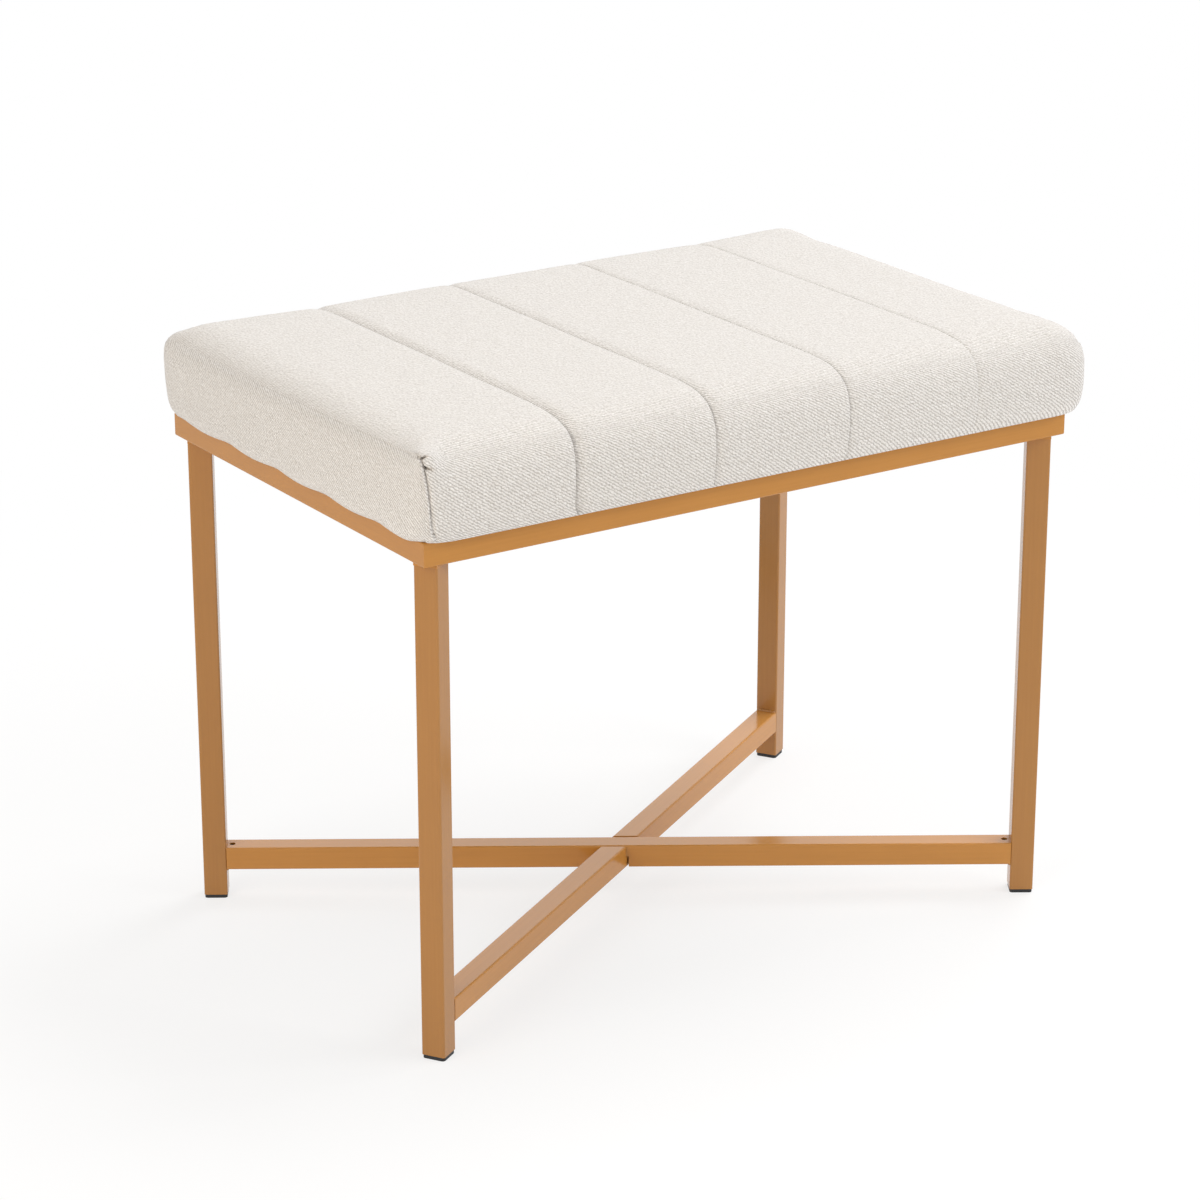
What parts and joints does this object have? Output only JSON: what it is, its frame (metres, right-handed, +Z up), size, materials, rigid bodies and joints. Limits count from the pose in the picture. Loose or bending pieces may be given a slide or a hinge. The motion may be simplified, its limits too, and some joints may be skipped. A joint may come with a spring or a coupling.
{
  "type": "upholstered bench",
  "caption": "Low upholstered bench: an ivory channel-sewn seat on a gold square-tube frame, its legs turned to the diagonals and tied by crossed stretchers near the floor.",
  "frame": {"origin": "on the floor, under the middle of the seat", "axes": "+Z up, +X along the length of the seat to the right, +Y to the back"},
  "size_m": [0.61, 0.406, 0.483],
  "materials": {
    "frame_metal": "satin gold lacquer, finely brushed along the tubes",
    "foot_plastic": "black moulded plastic",
    "bolt_steel": "zinc plated",
    "staple_steel": "galvanised wire",
    "screw_steel": "zinc plated",
    "board_wood": "plywood",
    "seat_foam": "polyurethane foam",
    "seat_wadding": "polyester wadding",
    "seat_cloth": "ivory linen-look woven cloth",
    "dust_cloth": "black non-woven cloth"
  },
  "bodies": {
    "root": {"seat_rail_front": "frame_metal", "seat_rail_back": "frame_metal", "seat_rail_left": "frame_metal", "seat_rail_right": "frame_metal", "corner_gusset_front_left": "frame_metal", "leg_front_left": "frame_metal", "leg_plate_front_left": "frame_metal", "foot_cap_front_left": "foot_plastic", "corner_gusset_front_right": "frame_metal", "leg_front_right": "frame_metal", "leg_plate_front_right": "frame_metal", "foot_cap_front_right": "foot_plastic", "corner_gusset_back_left": "frame_metal", "leg_back_left": "frame_metal", "leg_plate_back_left": "frame_metal", "foot_cap_back_left": "foot_plastic", "corner_gusset_back_right": "frame_metal", "leg_back_right": "frame_metal", "leg_plate_back_right": "frame_metal", "foot_cap_back_right": "foot_plastic", "leg_bolts": "bolt_steel", "leg_washers": "bolt_steel", "gusset_nuts": "bolt_steel", "stretcher_upper": "frame_metal", "stretcher_lower": "frame_metal", "seat_board": "board_wood", "seat_foam": "seat_foam", "seat_wadding": "seat_wadding", "seat_cover": "seat_cloth", "dust_cover": "dust_cloth", "cover_staples": "staple_steel", "seat_screws": "screw_steel"}
  },
  "joints": []
}
